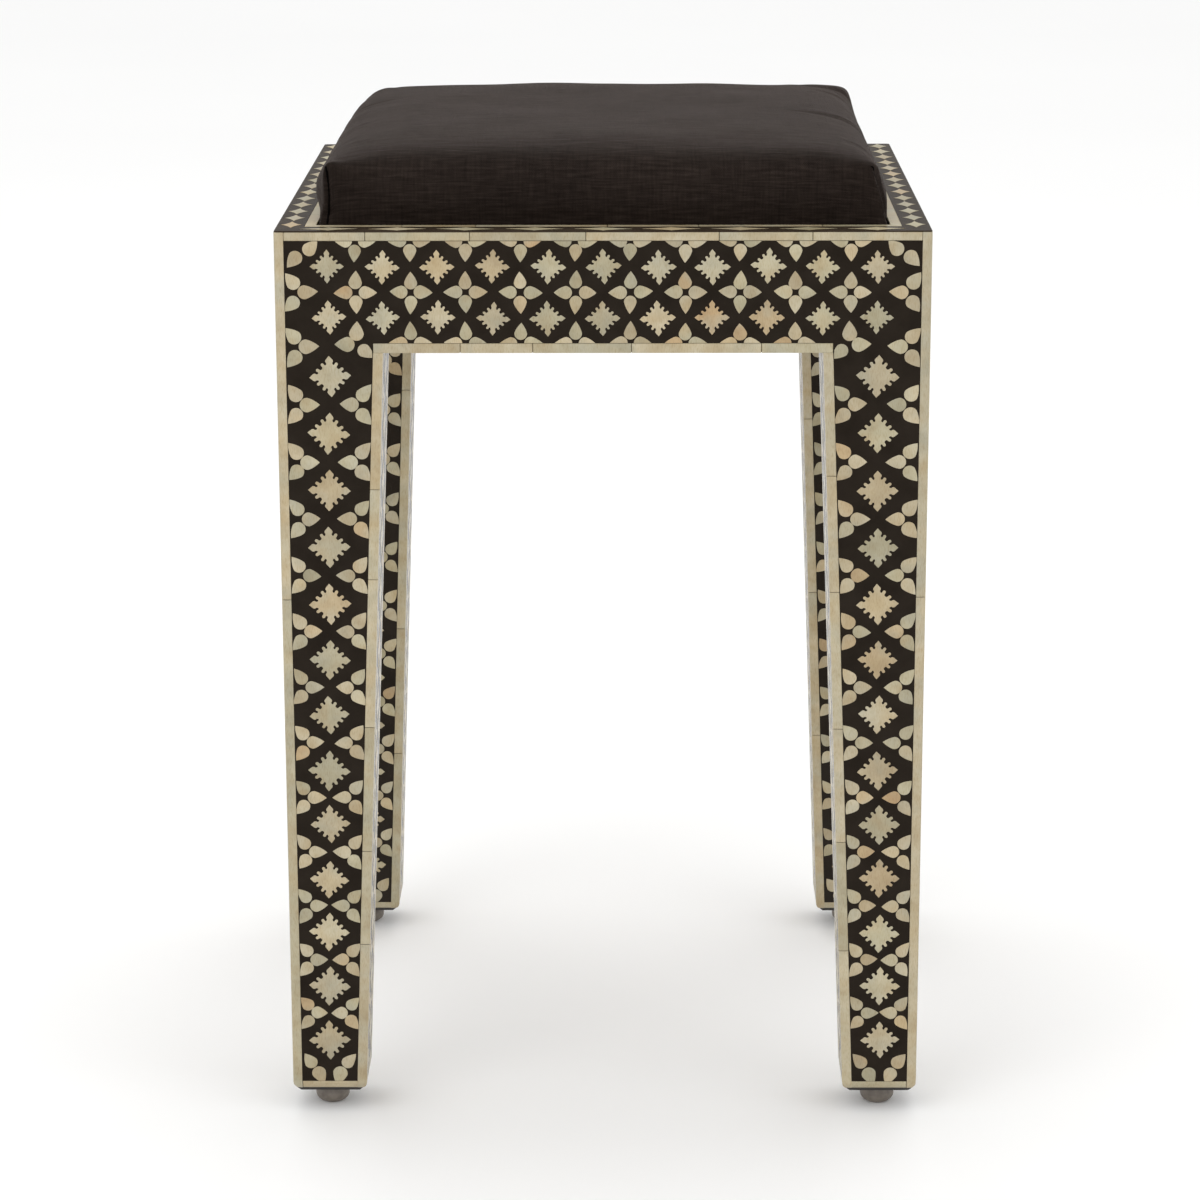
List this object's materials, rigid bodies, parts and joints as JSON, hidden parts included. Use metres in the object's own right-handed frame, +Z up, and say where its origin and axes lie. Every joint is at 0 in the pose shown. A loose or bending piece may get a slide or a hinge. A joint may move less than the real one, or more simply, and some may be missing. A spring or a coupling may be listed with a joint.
{
  "type": "inlaid stool",
  "caption": "Square stool with tapered legs and a flush apron, faced in black resin with bone stars, flowers and edging, and a loose dark box cushion that lifts out.",
  "frame": {"origin": "on the floor, under the middle of the stool", "axes": "+Z up, +X to the right seen from the front, the front faces -Y"},
  "size_m": [0.33, 0.33, 0.509],
  "materials": {
    "frame_wood": "satin",
    "cleat_wood": "matte",
    "plywood": "matte",
    "black_resin": "satin",
    "bone": "satin",
    "glide_plastic": "matte",
    "fastener_steel": "satin",
    "foam": "matte",
    "cover_fabric": "matte"
  },
  "bodies": {
    "frame": {"leg_front_left": "frame_wood", "leg_edging_front_left": "bone", "leg_inner_ground_front_left": "black_resin", "leg_front_right": "frame_wood", "leg_edging_front_right": "bone", "leg_inner_ground_front_right": "black_resin", "leg_rear_right": "frame_wood", "leg_edging_rear_right": "bone", "leg_inner_ground_rear_right": "black_resin", "leg_rear_left": "frame_wood", "leg_edging_rear_left": "bone", "leg_inner_ground_rear_left": "black_resin", "foot_glides": "glide_plastic", "glide_nails": "fastener_steel", "rail_front": "frame_wood", "seat_cleat_front": "cleat_wood", "resin_ground_front": "black_resin", "bone_stars_front": "bone", "apron_edging_front": "bone", "rail_right": "frame_wood", "seat_cleat_right": "cleat_wood", "resin_ground_right": "black_resin", "bone_stars_right": "bone", "apron_edging_right": "bone", "rail_rear": "frame_wood", "seat_cleat_rear": "cleat_wood", "resin_ground_rear": "black_resin", "bone_stars_rear": "bone", "apron_edging_rear": "bone", "rail_left": "frame_wood", "seat_cleat_left": "cleat_wood", "resin_ground_left": "black_resin", "bone_stars_left": "bone", "apron_edging_left": "bone", "cleat_screws": "fastener_steel", "top_ground": "black_resin", "top_stars": "bone", "top_edging": "bone"},
    "seat": {"seat_board": "plywood", "seat_foam": "foam", "seat_cover": "cover_fabric", "seat_staples": "fastener_steel"}
  },
  "joints": [
    {"name": "seat_lift", "type": "slide", "parent": "frame", "child": "seat", "axis": [0, 0, 1], "range_m": [0, 0.07]}
  ]
}
